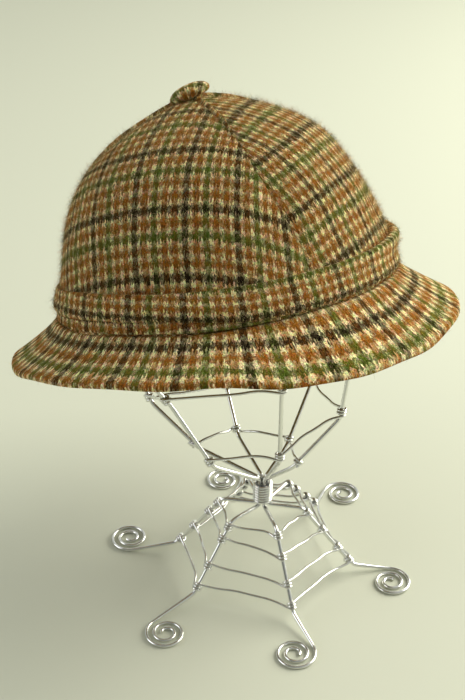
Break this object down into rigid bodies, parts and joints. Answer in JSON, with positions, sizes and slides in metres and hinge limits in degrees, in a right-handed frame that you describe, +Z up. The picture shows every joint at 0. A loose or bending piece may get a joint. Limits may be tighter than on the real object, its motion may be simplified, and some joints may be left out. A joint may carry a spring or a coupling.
{
  "type": "tweed hat on wire stand",
  "caption": "Round tweed hat with a gored crown, covered button, wrapped band and sloping brim, held on an openwork stand of bent wire with spiral feet.",
  "frame": {"origin": "middle of the underside of the whole object's box, on the table", "axes": "+Z up, -Y towards the side that the picture shows, +X to its right"},
  "size_m": [0.262, 0.2408, 0.2984],
  "materials": {
    "wool_tweed": "matt, fuzzy",
    "aluminium_wire": "bright drawn"
  },
  "bodies": {
    "root": {"crown_panel_1": "wool_tweed", "crown_panel_2": "wool_tweed", "crown_panel_3": "wool_tweed", "crown_panel_4": "wool_tweed", "top_button": "wool_tweed", "band": "wool_tweed", "band_fold": "wool_tweed", "brim": "wool_tweed", "stand_wire_1": "aluminium_wire", "stand_wire_2": "aluminium_wire", "stand_wire_3": "aluminium_wire", "stand_wire_4": "aluminium_wire", "stand_wire_5": "aluminium_wire", "stand_wire_6": "aluminium_wire", "base_ring_1": "aluminium_wire", "base_ring_2": "aluminium_wire", "base_ring_3": "aluminium_wire", "base_ring_4": "aluminium_wire", "neck_coil": "aluminium_wire", "cage_winding": "aluminium_wire", "crown_ring": "aluminium_wire"}
  },
  "joints": []
}
